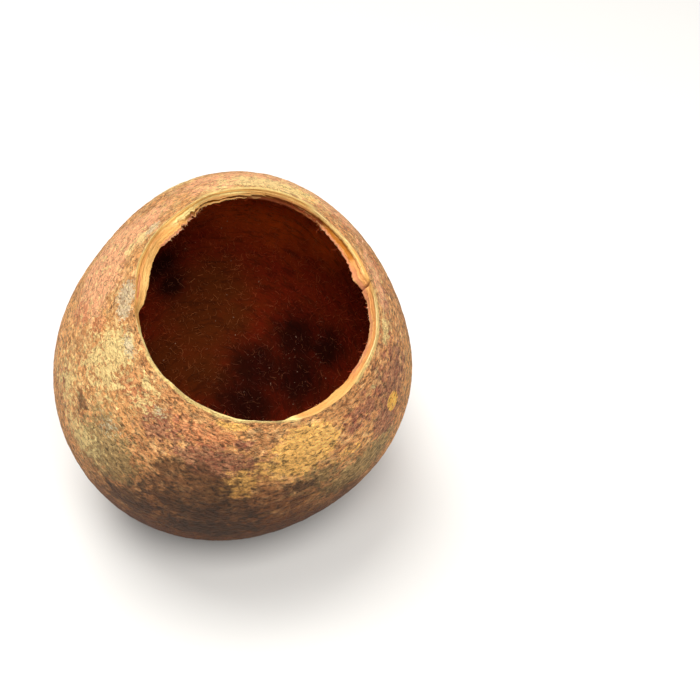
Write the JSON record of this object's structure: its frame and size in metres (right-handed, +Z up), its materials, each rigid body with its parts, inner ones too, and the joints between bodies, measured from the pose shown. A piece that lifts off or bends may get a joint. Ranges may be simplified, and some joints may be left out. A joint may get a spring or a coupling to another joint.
{
  "type": "dried bell cup pod",
  "caption": "Round, woody dried fruit shell, cut open across its top and emptied, lying tilted on a small flat spot with its wide mouth up.",
  "frame": {"origin": "on the ground under the middle of the pod's box", "axes": "+Z up, with the ground at z = 0 under the flat spot it rests on; the mouth faces up and leans 30.5 degrees towards -Y and a little towards +X"},
  "size_m": [0.0728, 0.0762, 0.0727],
  "materials": {
    "rind": "matte, finely wrinkled dry skin"
  },
  "bodies": {
    "root": {"pod_shell": "rind"}
  },
  "joints": []
}
